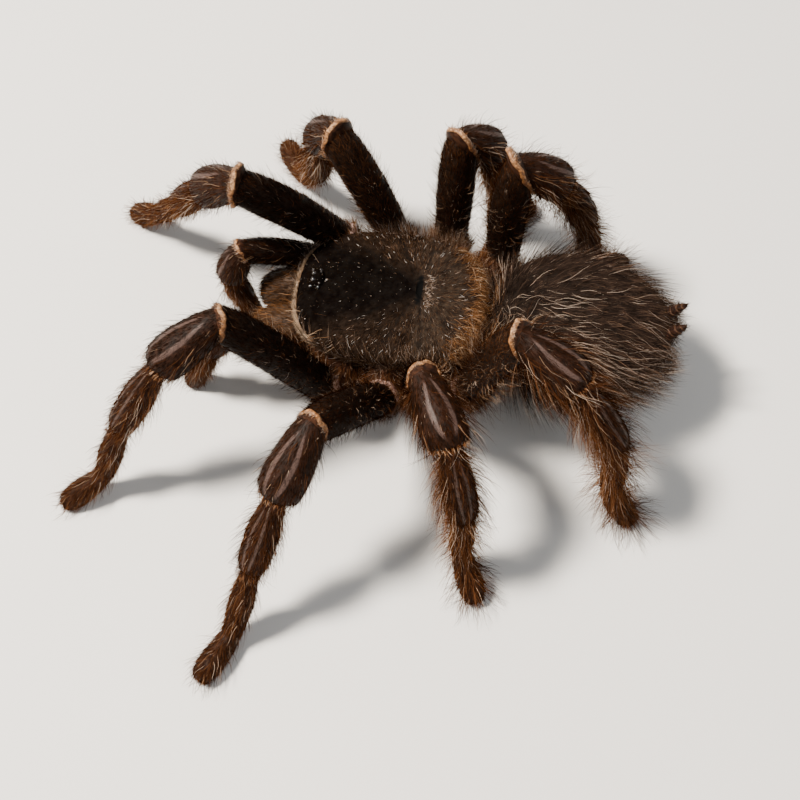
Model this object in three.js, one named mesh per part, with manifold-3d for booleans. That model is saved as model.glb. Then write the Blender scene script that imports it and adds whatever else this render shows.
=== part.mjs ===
// A dry tarantula standing on its own eight feet, about 90 mm long in the body.
// Millimetres, +Z up. The head looks along -Y, so the spider's own left side is +X.
// The origin is on the surface it stands on, under the centre of its bounding box.

import * as THREE from 'three';
import { mergeVertices } from 'three/addons/utils/BufferGeometryUtils.js';
import Module from 'manifold-3d';

const wasm = await Module();
wasm.setup();

// ---- Driving dimensions --------------------------------------------------------------------

const GAP = 0.3; // left between two pieces that meet
const SIDES = 10; // flats around a leg segment
const SOLE_CUT = 0.35; // depth of the flat worn on the underside of each foot

// Body: "ahead" is measured from the middle of the front body towards the head
const CARAPACE = {
  length: 39, width: 31.6, ahead: 4.9, under: 21.4, rim: 23.8, top: 29.2, squareness: 3, shoulder: 0.7,
};
const CORE = { length: 25, width: 12.6, ahead: 1, z: 18.8, height: 8.4 };
const EYE_TUBERCLE = { ahead: 20, z: 28.2, width: 5.4, length: 3.8, height: 3.2 };
const FOVEA = { ahead: -1, z: 30.2, width: 7, length: 2.4, height: 3 };
const STERNUM = { length: 19, width: 13.5, ahead: 1, z: 12.8, height: 2.8 };
const ABDOMEN = { length: 37, width: 29, height: 27, ahead: -34.5, z: 22.5, yaw: -1, squareness: 2.5 };
const PEDICEL = { radius: 2.4, length: 12, ahead: -18.5, z: 20 };
const CHELICERA = { length: 15, radius: 4.5, ahead: 19.5, side: 4.65, z: 19.4, pitch: -24 };
const FANG = { length: 10.5, radius: 1.3, ahead: 32, side: 4.65, z: 11.4, pitch: -148, arch: -1.2 };
const SPINNERET = {
  length: 8.4, radius: 1.35, ahead: -50.4, side: 2.5, middle: 0.5, z: 24, pitch: 63, arch: 0.8,
};

// Legs 1 to 4 and the palp P: [length, radius] of each segment, from the hip out
const LEG_SIZES = {
  1: { femur: [33, 4.1], patella: [14.5, 4], tibia: [20, 3.3], metatarsus: [17, 2.6], tarsus: [10, 2.6] },
  2: { femur: [30.5, 4.1], patella: [15, 4], tibia: [18, 3.3], metatarsus: [18, 2.6], tarsus: [9.5, 2.6] },
  3: { femur: [26.5, 4], patella: [13.5, 3.9], tibia: [17.5, 3.3], metatarsus: [16, 2.6], tarsus: [10, 2.6] },
  4: { femur: [31, 4.1], patella: [13.5, 4], tibia: [18, 3.4], metatarsus: [19, 2.7], tarsus: [8.5, 2.6] },
  P: { femur: [18, 2.9], patella: [9, 3], tibia: [10, 2.8], tarsus: [9, 2.6] },
};

// The inner end of each coxa, under the back plate: [ahead, to the side]
const COXA_ROOTS = { 1: [10.6, 8.2], 2: [4, 8.4], 3: [-2.6, 8.4], 4: [-9.2, 8], P: [15.6, 5.2] };
const COXA = { z: 17, root: 3, hip: 4 };
const PALP_COXA = { z: 15.6, root: 2.1, hip: 2.7 };

// Pose of each leg. The hip is [ahead, to the side], where the coxa ends. Headings and pitches are
// in whole degrees: a heading of 0 points straight out to the side and 90 to the head, and the
// femur has its own while all that is beyond the knee shares another. Pitches are above the
// horizontal, one for each segment from the hip out.
const LEG_POSES = {
  L1: { hip: [16, 19], femur: 79, shin: 57, pitches: [57, -29, -56, -68, -29] },
  L2: { hip: [4, 21], femur: 27, shin: 26, pitches: [47, -36, -55, -61, -5] },
  L3: { hip: [-4, 18.5], femur: -6, shin: -29, pitches: [70, -11, -62, -90, -40] },
  L4: { hip: [-13.5, 15], femur: -62, shin: -65, pitches: [72, -23, -54, -86, -53] },
  R1: { hip: [18, 15.5], femur: 116, shin: 55, pitches: [53, -46, -54, -52, -40] },
  R2: { hip: [6.5, 19.5], femur: 75, shin: 31, pitches: [65, -51, -75, -50, -6] },
  R3: { hip: [-5.5, 19.5], femur: -4, shin: -40, pitches: [79, -46, -77, -87, -6] },
  R4: { hip: [-17, 16.5], femur: -55, shin: -63, pitches: [88, -44, -64, -79, -24] },
  LP: { hip: [20.5, 11.4], femur: 79, shin: 102, pitches: [34, -51, -74, -68] },
  RP: { hip: [22, 11.4], femur: 114, shin: 105, pitches: [29, -70, -102, -100] },
};

// ---- Outlines: [place along the length, radius], both as fractions --------------------------

const ROUND_TUBE = [[0, 0], [0.02, 0.62], [0.12, 0.86], [0.5, 1], [0.86, 0.95], [0.98, 0.6], [1, 0]];
const SWOLLEN_TIP = [[0, 0], [0.02, 0.6], [0.14, 0.82], [0.6, 0.94], [0.85, 1], [0.98, 0.64], [1, 0]];
const RINGED_HIP = [[0, 0], [0.04, 0.6], [0.5, 0.92], [0.72, 0.86], [0.86, 1], [0.97, 0.7], [1, 0]];
const BARREL = [[0, 0], [0.06, 0.5], [0.25, 0.92], [0.52, 1], [0.82, 0.92], [0.95, 0.66], [1, 0]];
const THORN = [[0, 0], [0.04, 0.9], [0.4, 0.75], [0.75, 0.4], [1, 0]];
const FINGER = [[0, 0], [0.05, 0.9], [0.35, 1], [0.7, 0.8], [0.94, 0.45], [1, 0]];

// ---- Materials ------------------------------------------------------------------------------

function finish(color, roughness) {
  return new THREE.MeshStandardMaterial({ color, roughness, metalness: 0 });
}

const MATERIALS = {
  carapace: finish(0x2c2019, 0.7),
  leg: finish(0x3a2921, 0.75),
  foot: finish(0x5a3a28, 0.8),
  hip: finish(0x8a6f66, 0.6),
  abdomen: finish(0x2b2522, 0.85),
  chelicera: finish(0x46332a, 0.75),
  sternum: finish(0x2e211a, 0.75),
  fang: finish(0x120d0b, 0.25),
  spinneret: finish(0x4a2a22, 0.7),
};

// ---- Shape helpers ---------------------------------------------------------------------------

function vector(x, y, z) {
  return new THREE.Vector3(x, y, z);
}

function toSolid(geometry) {
  const bare = geometry.clone();
  bare.deleteAttribute('normal');
  bare.deleteAttribute('uv');
  const welded = mergeVertices(bare, 1e-4);
  return new wasm.Manifold(new wasm.Mesh({
    numProp: 3,
    vertProperties: new Float32Array(welded.attributes.position.array),
    triVerts: new Uint32Array(welded.index.array),
  }));
}

function toGeometry(solid) {
  const { vertProperties, triVerts } = solid.getMesh();
  const geometry = new THREE.BufferGeometry();
  geometry.setAttribute('position', new THREE.BufferAttribute(vertProperties, 3));
  geometry.setIndex(new THREE.BufferAttribute(triVerts, 1));
  geometry.computeVertexNormals();
  return geometry;
}

// Moves every corner of a geometry by a rule that changes the vector it is given
function reshape(geometry, rule) {
  const corners = geometry.attributes.position;
  const corner = vector(0, 0, 0);
  for (let i = 0; i < corners.count; i += 1) {
    rule(corner.fromBufferAttribute(corners, i));
    corners.setXYZ(i, corner.x, corner.y, corner.z);
  }
  return geometry;
}

// A closed round body along +X, from -over to length + over, bowed upwards by arch
function limb(outline, length, radius, { over = 0, arch = 0 } = {}) {
  const whole = length + 2 * over;
  const points = outline.map(([along, share]) => new THREE.Vector2(share * radius, along * whole - over));
  const geometry = new THREE.LatheGeometry(points, SIDES).rotateZ(-Math.PI / 2);
  return reshape(geometry, (corner) => {
    corner.z += arch * Math.sin((Math.PI * (corner.x + over)) / whole);
  });
}

function ellipsoid(length, width, height, around = 20, rings = 12) {
  return new THREE.SphereGeometry(0.5, around, rings).rotateX(Math.PI / 2).scale(width, length, height);
}

// Compass yaw of a heading on the left (+1) or right (-1) side
function yawOf(side, heading) {
  const turn = THREE.MathUtils.degToRad(heading);
  return side > 0 ? -turn : Math.PI + turn;
}

function turnOf(yaw, pitch) {
  const dip = -THREE.MathUtils.degToRad(pitch);
  return new THREE.Quaternion().setFromEuler(new THREE.Euler(0, dip, yaw, 'ZYX'));
}

// Cuts a solid that has been placed at start with the turn, keeping the side that ahead points to
function mitre(solid, start, turn, point, ahead) {
  const back = turn.clone().invert();
  const normal = ahead.clone().applyQuaternion(back);
  const local = point.clone().sub(start).applyQuaternion(back);
  return solid.trimByPlane(normal.toArray(), normal.dot(local) + GAP / 2);
}

const spider = new THREE.Group();

function addPiece(name, solid, material) {
  const mesh = new THREE.Mesh(toGeometry(solid), material);
  mesh.name = name;
  spider.add(mesh);
}

// ---- Body -------------------------------------------------------------------------------------

// How far a corner of a round plan moves out to make the plan squarer: 2 stays round
function spreadTo(squareness, corner) {
  const reach = Math.hypot(corner.x, corner.y);
  if (reach === 0) return 1;
  const across = Math.abs(corner.x / reach) ** squareness;
  const along = Math.abs(corner.y / reach) ** squareness;
  return (across + along) ** (-1 / squareness);
}

// The back plate is a long pad with square shoulders, a blunt head and a low crown
function carapaceSolid() {
  const { length, width, ahead, under, rim, top, squareness, shoulder } = CARAPACE;
  const plate = reshape(ellipsoid(2, 2, 2, 24, 12), (corner) => {
    const spread = spreadTo(squareness, corner);
    const front = Math.max(0, -corner.y);
    corner.x *= (width / 2) * spread * (1 - 0.05 * front);
    corner.y *= (length / 2) * spread;
    const crown = top - rim + 1.2 * front;
    corner.z = corner.z > 0 ? rim + crown * corner.z ** shoulder : rim + (rim - under) * corner.z;
  });
  plate.translate(0, -ahead, 0);
  const tubercle = ellipsoid(EYE_TUBERCLE.length, EYE_TUBERCLE.width, EYE_TUBERCLE.height, 12, 8);
  tubercle.translate(0, -EYE_TUBERCLE.ahead, EYE_TUBERCLE.z);
  const fovea = ellipsoid(FOVEA.length, FOVEA.width, FOVEA.height, 12, 8).translate(0, -FOVEA.ahead, FOVEA.z);
  const core = ellipsoid(CORE.length, CORE.width, CORE.height, 16, 8).translate(0, -CORE.ahead, CORE.z);
  return toSolid(plate).add(toSolid(tubercle)).add(toSolid(core)).subtract(toSolid(fovea));
}

// Room that a piece needs: the piece itself, grown by the gap all round
function roomFor(solid) {
  const { min, max } = solid.boundingBox();
  const middle = min.map((low, axis) => (low + max[axis]) / 2);
  const grown = min.map((low, axis) => 1 + (3 * GAP) / (max[axis] - low));
  return solid.translate(middle.map((value) => -value)).scale(grown).translate(middle);
}

function abdomenSolid(room) {
  const { length, width, height, ahead, z, yaw, squareness } = ABDOMEN;
  const bag = reshape(ellipsoid(2, 2, 2), (corner) => {
    const rear = Math.max(0, corner.y);
    const spread = corner.y < 0 ? spreadTo(squareness, corner) : 1;
    corner.x *= (width / 2) * spread * (1 - 0.12 * rear);
    corner.z *= (height / 2) * (1 - 0.1 * rear);
    corner.y *= (length / 2) * spread;
  });
  bag.rotateZ(THREE.MathUtils.degToRad(yaw)).translate(0, -ahead, z);
  const stalk = limb(ROUND_TUBE, PEDICEL.length, PEDICEL.radius).rotateZ(-Math.PI / 2);
  stalk.translate(0, -PEDICEL.ahead + PEDICEL.length / 2, PEDICEL.z);
  return toSolid(bag).add(toSolid(stalk)).subtract(room);
}

const carapace = carapaceSolid();
const carapaceRoom = roomFor(carapace);
const abdomen = abdomenSolid(carapaceRoom);
const abdomenRoom = roomFor(abdomen);
addPiece('carapace', carapace, MATERIALS.carapace);
addPiece('abdomen', abdomen, MATERIALS.abdomen);

const sternum = ellipsoid(STERNUM.length, STERNUM.width, STERNUM.height, 16, 8);
sternum.translate(0, -STERNUM.ahead, STERNUM.z);
addPiece('sternum', toSolid(sternum), MATERIALS.sternum);

// Puts a solid that was made along +X where it belongs on the body
function placed(solid, start, turn) {
  return toSolid(toGeometry(solid).applyQuaternion(turn).translate(...start.toArray()));
}

for (const [letter, side] of [['L', 1], ['R', -1]]) {
  const forward = yawOf(side, 90);
  const jawAt = vector(side * CHELICERA.side, -CHELICERA.ahead, CHELICERA.z);
  const jaw = toSolid(limb(BARREL, CHELICERA.length, CHELICERA.radius, { arch: 1 }));
  const jawPlaced = placed(jaw, jawAt, turnOf(forward, CHELICERA.pitch)).subtract(carapaceRoom);
  addPiece(`chelicera_${letter}`, jawPlaced, MATERIALS.chelicera);

  const fangAt = vector(side * FANG.side, -FANG.ahead, FANG.z);
  const fang = toSolid(limb(THORN, FANG.length, FANG.radius, { arch: FANG.arch }));
  const fangPlaced = placed(fang, fangAt, turnOf(forward, FANG.pitch));
  addPiece(`fang_${letter}`, fangPlaced.subtract(roomFor(jawPlaced)), MATERIALS.fang);

  const fingerAt = vector(side * SPINNERET.side + SPINNERET.middle, -SPINNERET.ahead, SPINNERET.z);
  const finger = toSolid(limb(FINGER, SPINNERET.length, SPINNERET.radius, { arch: SPINNERET.arch }));
  const fingerPlaced = placed(finger, fingerAt, turnOf(yawOf(side, -90), SPINNERET.pitch));
  addPiece(`spinneret_${letter}`, fingerPlaced.subtract(abdomenRoom), MATERIALS.spinneret);
}

// ---- Legs and palps ----------------------------------------------------------------------------

const OUTLINES = {
  femur: ROUND_TUBE, patella: SWOLLEN_TIP, tibia: ROUND_TUBE, metatarsus: ROUND_TUBE, tarsus: SWOLLEN_TIP,
};
const ARCHES = { femur: 0.9, patella: 0.5, tibia: 0.3, metatarsus: 0, tarsus: 0 };

function segmentSolid({ name, length, radius }) {
  return toSolid(limb(OUTLINES[name], length, radius, { over: 0.55 * radius, arch: ARCHES[name] }));
}

// Turns, directions and joints of one leg, with its hip at the height that lands the foot
function legWalk(leg) {
  const kind = leg[1];
  const side = leg[0] === 'L' ? 1 : -1;
  const { hip, femur, shin, pitches } = LEG_POSES[leg];
  const joint = vector(side * hip[1], -hip[0], 0);
  const segments = Object.entries(LEG_SIZES[kind]).map(([name, [length, radius]], i) => {
    const turn = turnOf(yawOf(side, i === 0 ? femur : shin), pitches[i]);
    const ahead = vector(1, 0, 0).applyQuaternion(turn);
    const start = joint.clone();
    joint.addScaledVector(ahead, length);
    return { name, length, radius, turn, ahead, start, end: joint.clone() };
  });
  const toe = segments.at(-1);
  const lowest = placed(segmentSolid(toe), toe.start, toe.turn).boundingBox().min[2];
  for (const { start, end } of segments) {
    start.z -= lowest + SOLE_CUT;
    end.z -= lowest + SOLE_CUT;
  }
  return { kind, side, segments };
}

// One segment, cut at the middle of the bend to the piece before it and to the piece after it
function cutSegment(segment, before, after) {
  const { start, end, turn, ahead } = segment;
  let solid = segmentSolid(segment);
  if (before) {
    solid = mitre(solid, start, turn, start, before.clone().add(ahead).normalize());
  }
  if (after) {
    solid = mitre(solid, start, turn, end, after.clone().add(ahead).normalize().negate());
  }
  return solid;
}

function addCoxa(leg, { kind, side, segments }) {
  const size = kind === 'P' ? PALP_COXA : COXA;
  const [rootAhead, rootSide] = COXA_ROOTS[kind];
  const root = vector(side * rootSide, -rootAhead, size.z);
  const hip = segments[0].start;
  const ahead = hip.clone().sub(root);
  const length = ahead.length();
  ahead.normalize();
  const turn = turnOf(Math.atan2(ahead.y, ahead.x), THREE.MathUtils.radToDeg(Math.asin(ahead.z)));
  const ring = limb(RINGED_HIP, length + 0.5 * size.hip, size.hip);
  reshape(ring, (corner) => {
    const share = THREE.MathUtils.clamp(corner.x / length, 0, 1);
    const slim = THREE.MathUtils.lerp(size.root / size.hip, 1, share);
    corner.y *= slim;
    corner.z *= slim;
  });
  const bend = segments[0].ahead.clone().add(ahead).normalize().negate();
  const cut = mitre(toSolid(ring), root, turn, hip, bend);
  addPiece(`coxa_${leg}`, placed(cut, root, turn).subtract(carapaceRoom), MATERIALS.hip);
  return ahead;
}

// The metatarsus and tarsus of a leg as one foot, in the frame of the metatarsus
function footSolid(metatarsus, toe) {
  const back = metatarsus.turn.clone().invert();
  const start = toe.start.clone().sub(metatarsus.start).applyQuaternion(back);
  return placed(segmentSolid(toe), start, back.clone().multiply(toe.turn));
}

function addLeg(leg) {
  const walk = legWalk(leg);
  const { kind, segments } = walk;
  const toe = segments.at(-1);
  const pieces = kind === 'P' ? segments : segments.slice(0, -1);
  let before = addCoxa(leg, walk);
  pieces.forEach((segment, i) => {
    const lands = i === pieces.length - 1;
    let solid = cutSegment(segment, before, lands ? null : segments[i + 1].ahead);
    if (lands && segment !== toe) solid = solid.add(footSolid(segment, toe));
    if (lands) solid = mitre(solid, segment.start, segment.turn, vector(0, 0, -GAP / 2), vector(0, 0, 1));
    const name = lands && segment !== toe ? 'foot' : segment.name;
    const free = placed(solid, segment.start, segment.turn).subtract(carapaceRoom);
    addPiece(`${name}_${leg}`, free, lands ? MATERIALS.foot : MATERIALS.leg);
    before = segment.ahead;
  });
}

Object.keys(LEG_POSES).forEach(addLeg);

// Puts the origin under the centre of the bounding box
const box = new THREE.Box3().setFromObject(spider, true);
const centre = box.getCenter(vector(0, 0, 0));
spider.position.set(-centre.x, -centre.y, -box.min.z);

export default spider;
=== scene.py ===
# %% [markdown]
# # A dry tarantula and its coat of hair
#
# The frame holds the bare skeleton: the plates, jaws, leg segments and spinnerets, as plain
# faceted solids in one body. This lesson gives every one of them a smooth skin with the marks
# that a real one has, and then combs a coat of many thousand hairs over it.

# %% Load the frame
import math

import bmesh
import bpy
import numpy as np
from mathutils import Matrix, Vector


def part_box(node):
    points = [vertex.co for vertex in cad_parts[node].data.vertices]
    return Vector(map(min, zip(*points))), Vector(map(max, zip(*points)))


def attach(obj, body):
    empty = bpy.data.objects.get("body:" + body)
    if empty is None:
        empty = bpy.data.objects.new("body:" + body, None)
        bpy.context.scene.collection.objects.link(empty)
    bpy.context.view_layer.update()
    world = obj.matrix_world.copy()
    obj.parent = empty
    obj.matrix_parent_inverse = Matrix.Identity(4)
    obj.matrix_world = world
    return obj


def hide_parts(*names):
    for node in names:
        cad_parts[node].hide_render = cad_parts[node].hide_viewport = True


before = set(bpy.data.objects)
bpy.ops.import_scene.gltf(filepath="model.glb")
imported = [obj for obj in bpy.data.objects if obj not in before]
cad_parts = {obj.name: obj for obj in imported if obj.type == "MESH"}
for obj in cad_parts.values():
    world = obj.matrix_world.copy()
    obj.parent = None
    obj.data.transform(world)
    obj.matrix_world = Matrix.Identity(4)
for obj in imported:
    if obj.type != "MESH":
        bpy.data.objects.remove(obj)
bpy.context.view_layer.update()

MM = 0.001

# %% [markdown]
# ## Camera
#
# The camera comes first, so that each later step can be judged in the final view. It looks down
# at the spider's left side from well above. The place that it aims at is measured from the
# middle of the chest plate, so it follows the frame.

# %% Camera
PICTURE = 800  # pixels along each side of the picture
FOCAL_PIXELS = 1300  # the focal length, measured in those pixels
SENSOR = 36.0  # width in millimetres
AZIMUTH, ELEVATION, DISTANCE = 97.65, 62.1, 282.7 * MM
AIM_FROM_CHEST = Vector((10.25, -0.58)) * MM


def middle(node):
    """The middle of a node's box."""
    low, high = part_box(node)
    return (low + high) / 2


def looking(azimuth, elevation):
    """The direction of a view: azimuth 0 looks along +Y, 90 along -X, and elevation is down."""
    turn, dip = math.radians(azimuth), math.radians(elevation)
    return Vector((-math.sin(turn) * math.cos(dip), math.cos(turn) * math.cos(dip), -math.sin(dip)))


chest = middle("sternum")
aim = Vector((chest.x + AIM_FROM_CHEST.x, chest.y + AIM_FROM_CHEST.y, 0))
view = looking(AZIMUTH, ELEVATION)
camera = bpy.data.objects.new("camera", bpy.data.cameras.new("camera"))
camera.data.sensor_width = SENSOR
camera.data.lens = SENSOR * FOCAL_PIXELS / PICTURE
camera.location = aim - view * DISTANCE
camera.rotation_euler = view.to_track_quat("-Z", "Y").to_euler()
bpy.context.scene.collection.objects.link(camera)
bpy.context.scene.camera = camera
print("lens:", round(camera.data.lens, 1), "mm")

# %% [markdown]
# ## Floor and light
#
# A plain pale floor shows the whole outline, which matters for a hairy thing, because half of
# its character is in the fringe. One large soft lamp stands ahead of the spider and high up, so
# that the hairs catch it from the front, and a wide dim one fills the shadows.


# %% Floor and light
def add_lamp(name, azimuth, elevation, distance, size, power, tint):
    """A square area lamp that shines at the spider along the given view direction."""
    lamp = bpy.data.objects.new(name, bpy.data.lights.new(name, "AREA"))
    lamp.data.size = size
    lamp.data.energy = power
    lamp.data.color = tint
    shine = looking(azimuth, elevation)
    lamp.location = aim - shine * distance
    lamp.rotation_euler = shine.to_track_quat("-Z", "Y").to_euler()
    bpy.context.scene.collection.objects.link(lamp)


add_lamp("key_lamp", 8, 60, 0.9, 0.14, 31, (1.0, 0.92, 0.82))
add_lamp("fill_lamp", 150, 50, 1.2, 1.0, 5, (0.9, 0.95, 1.0))

world = bpy.data.worlds.new("studio")
world.use_nodes = True
background = world.node_tree.nodes["Background"]
background.inputs["Color"].default_value = (1.0, 0.97, 0.94, 1)
background.inputs["Strength"].default_value = 0.34
bpy.context.scene.world = world
print("lamps:", [light.name for light in bpy.data.lights])


# %% [markdown]
# ## Shader maths as Python
#
# A finish is a small program: an attribute or a noise goes in, a colour comes out. Wiring such
# a program node by node hides what it says, so a wire here knows how to add, multiply and
# compare, and each sum becomes the node that does it.


# %% Shader maths as Python
class Wire:
    """One number or colour on its way through a material."""

    def __init__(self, finish, socket):
        self.finish = finish
        self.socket = socket

    def maths(self, operation, *inputs):
        return self.finish.node("ShaderNodeMath", {"operation": operation}, dict(enumerate(inputs)))

    def __add__(self, other):
        return self.maths("ADD", self, other)

    def __radd__(self, other):
        return self.maths("ADD", other, self)

    def __sub__(self, other):
        return self.maths("SUBTRACT", self, other)

    def __mul__(self, other):
        return self.maths("MULTIPLY", self, other)

    def between(self, low, high):
        """0 below low, 1 above high, and smooth in the middle; low above high turns it round."""
        settings = {"interpolation_type": "SMOOTHSTEP"}
        inputs = {"Value": self, "From Min": low, "From Max": high, "To Min": 0, "To Max": 1}
        return self.finish.node("ShaderNodeMapRange", settings, inputs)

    def ridge(self, centre, reach):
        """1 at the centre, falling smoothly to 0 a reach away on either side."""
        return self.maths("ABSOLUTE", self - centre).between(reach, 0)


class Finish:
    """A material with one Principled shader."""

    def __init__(self, name, **constants):
        self.material = bpy.data.materials.new(name)
        self.material.use_nodes = True
        self.tree = self.material.node_tree
        self.shader = self.tree.nodes["Principled BSDF"]
        for socket, value in constants.items():
            self.shader.inputs[socket.replace("_", " ")].default_value = value

    def feed(self, socket, value):
        if isinstance(value, Wire):
            self.tree.links.new(value.socket, socket)
        else:
            socket.default_value = value

    def node(self, kind, settings, inputs, output=0):
        """Any node: its type, its settings, and the values or wires of its sockets."""
        made = self.tree.nodes.new(kind)
        for name, value in settings.items():
            if name == "stops":
                self.set_stops(made.color_ramp, value)
            else:
                setattr(made, name, value)
        for name, value in inputs.items():
            self.feed(made.inputs[name], value)
        return Wire(self, made.outputs[output])

    def set_stops(self, ramp, stops):
        while len(ramp.elements) < len(stops):
            ramp.elements.new(0.5)
        for element, (place, colour) in zip(ramp.elements, stops):
            element.position = place
            element.color = (*colour, 1)

    def attribute(self, name):
        return self.node("ShaderNodeAttribute", {"attribute_name": name}, {}, "Fac")

    def noise(self, scale, detail=3):
        place = self.node("ShaderNodeTexCoord", {}, {}, "Object")
        inputs = {"Vector": place, "Scale": scale, "Detail": detail, "Roughness": 0.6}
        return self.node("ShaderNodeTexNoise", {}, inputs, "Fac")

    def ramp(self, value, stops):
        return self.node("ShaderNodeValToRGB", {"stops": stops}, {"Fac": value}, "Color")

    def mix(self, share, first, second):
        """The first colour where share is 0 and the second where it is 1."""
        first = (*first, 1) if isinstance(first, tuple) else first
        second = (*second, 1) if isinstance(second, tuple) else second
        made = self.tree.nodes.new("ShaderNodeMix")
        made.data_type = "RGBA"
        colour_sockets = [socket for socket in made.inputs if socket.type == "RGBA"]
        self.feed(made.inputs["Factor"], share)
        self.feed(colour_sockets[0], first)
        self.feed(colour_sockets[1], second)
        return Wire(self, next(socket for socket in made.outputs if socket.type == "RGBA"))

    def patchy(self, grain, first, second, high=0.7):
        """Patches of two colours: the first where a noise is low, the second where it is high."""
        return self.mix(grain.between(0.3, high), first, second)

    def surface(self, colour, roughness=None, height=None, distance=0.0, strength=0.6):
        """Joins the shader to its colour and, where they vary, to its roughness and bump."""
        self.feed(self.shader.inputs["Base Color"], colour)
        if roughness:
            self.feed(self.shader.inputs["Roughness"], roughness)
        if height:
            inputs = {"Height": height, "Distance": distance, "Strength": strength}
            normal = self.node("ShaderNodeBump", {}, inputs, "Normal")
            self.feed(self.shader.inputs["Normal"], normal)


# %% [markdown]
# ## The floor
#
# The floor is one large square. A curved backdrop would do as well, but the camera looks down so
# steeply that no horizon shows. Its matt finish is very faintly mottled.

# %% The floor
FLOOR_SIZE = 6.0
FLOOR_TONES = [(0.3, (0.70, 0.685, 0.66)), (0.7, (0.72, 0.705, 0.68))]


def put(name, mesh, finish):
    """Puts a mesh in the scene as an object with one finish."""
    mesh.materials.append(finish.material)
    thing = bpy.data.objects.new(name, mesh)
    bpy.context.scene.collection.objects.link(thing)
    return thing


floor_finish = Finish("pale_floor", Roughness=0.9)
floor_finish.surface(floor_finish.ramp(floor_finish.noise(9), FLOOR_TONES))
floor_mesh = bpy.data.meshes.new("floor")
sheet = bmesh.new()
bmesh.ops.create_grid(sheet, x_segments=1, y_segments=1, size=FLOOR_SIZE / 2)
sheet.to_mesh(floor_mesh)
sheet.free()
floor = put("floor", floor_mesh, floor_finish)
print("floor:", FLOOR_SIZE, "m square")

# %% [markdown]
# ## From a faceted solid to a smooth skin
#
# Each solid already has the right size and place. A welded copy of it, with its flat faces made
# whole again, is a clean cage for a Subdivision Surface, which rounds it the way a hollow shell
# grows. The flat ends, where two segments meet, are creased, or the subdivision would melt them
# into balls and open gaps at the joints.


# %% From a faceted solid to a smooth skin
FLAT_ENDS = 7  # a face with this many corners or more is the cut end of a segment
SOLE_HEIGHT = 0.05 * MM  # except below this height, where it is the sole of a foot
END_CREASE = 0.8
SKIN_LEVELS = 2  # rounds of subdivision


def welded(node):
    """A node's shape with its doubles merged and its flat faces whole."""
    shape = bmesh.new()
    shape.from_mesh(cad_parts[node].data)
    bmesh.ops.remove_doubles(shape, verts=shape.verts, dist=1e-6)
    flat = math.radians(1)
    bmesh.ops.dissolve_limit(shape, angle_limit=flat, verts=shape.verts, edges=shape.edges)
    return shape


def cut_ends(shape):
    """The flat end faces of a segment, without the sole that a foot stands on."""
    flat = [face for face in shape.faces if len(face.verts) >= FLAT_ENDS]
    return [face for face in flat if face.calc_center_median().z > SOLE_HEIGHT]


def add_piece(name, shape, finish, levels=0):
    """Makes a finished mesh object of a bmesh, at the origin, riding on the one body."""
    mesh = bpy.data.meshes.new(name)
    shape.to_mesh(mesh)
    shape.free()
    piece = put(name, mesh, finish)
    if levels:
        rounding = piece.modifiers.new("rounding", "SUBSURF")
        rounding.levels = rounding.render_levels = levels
        seen = piece.evaluated_get(bpy.context.evaluated_depsgraph_get())
        piece.data = bpy.data.meshes.new_from_object(seen)
        piece.modifiers.clear()
    piece.data.polygons.foreach_set("use_smooth", [True] * len(piece.data.polygons))
    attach(piece, "root")
    return piece


def skin_of(node, finish):
    """The smooth skin that stands for a node."""
    shape = welded(node)
    crease = shape.edges.layers.float.new("crease_edge")
    for end in cut_ends(shape):
        for edge in end.edges:
            edge[crease] = END_CREASE
    piece = add_piece(f"skin_{node}", shape, finish, SKIN_LEVELS)
    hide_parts(node)
    return piece


# %% [markdown]
# ## Where each segment begins and ends
#
# The marks and hairs of a leg run along it, so every segment needs its two joints. They are the
# middles of the cut ends that face each other. From them follow a direction out along the
# segment, one to its side, and one to its back, which is the side that faces the sky.

# %% Where each segment begins and ends
UP = Vector((0, 0, 1))
LEGS = ("L1", "L2", "L3", "L4", "R1", "R2", "R3", "R4")
PALPS = ("LP", "RP")
LEG_PARTS = ("coxa", "femur", "patella", "tibia", "foot")
PALP_PARTS = (*LEG_PARTS[:-1], "tarsus")
SMALLEST_END = 2 * MM * MM  # a smaller flat face is only a facet


def measured_ends(node):
    """The middle, the facing and the outline of each cut end."""
    shape = welded(node)
    ends = [
        (face.calc_center_median(), face.normal.copy(), [v.co.copy() for v in face.verts])
        for face in cut_ends(shape)
        if face.calc_area() > SMALLEST_END
    ]
    shape.free()
    return ends


def facing_ends(node, next_node):
    """The pair of cut ends with which two segments meet."""
    pairs = [(a, b) for a in measured_ends(node) for b in measured_ends(next_node)]
    return min(pairs, key=lambda pair: (pair[0][0] - pair[1][0]).length)


def farthest(node, place):
    """The corner of a node that lies farthest from a place."""
    points = [v.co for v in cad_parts[node].data.vertices]
    return max(points, key=lambda point: (point - place).length).copy()


chains = {leg: [f"{part}_{leg}" for part in LEG_PARTS] for leg in LEGS}
chains |= {palp: [f"{part}_{palp}" for part in PALP_PARTS] for palp in PALPS}
joints = {}
spans = {}
for limb, chain in chains.items():
    for node, next_node in zip(chain, chain[1:]):
        joints[node] = facing_ends(node, next_node)
    places = [(joints[node][0][0] + joints[node][1][0]) / 2 for node in chain[:-1]]
    places = [farthest(chain[0], places[0]), *places, farthest(chain[-1], places[-1])]
    for node, start, end in zip(chain, places, places[1:]):
        spans[node] = (start, end)
foreleg = [spans[node] for node in chains["L1"]]
print("left foreleg:", [round((end - start).length / MM, 1) for start, end in foreleg], "mm")

# %% [markdown]
# ## Marks on a skin
#
# Numbers are written on every point of a skin. "Along" goes from 0 at the near joint to 1 at the
# far one, and "around" is the angle from the back of the segment. "Lane" is 1 in the middle of
# both bald stripes. The finishes read them, and so do the hairs, to know where to grow.


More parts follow.
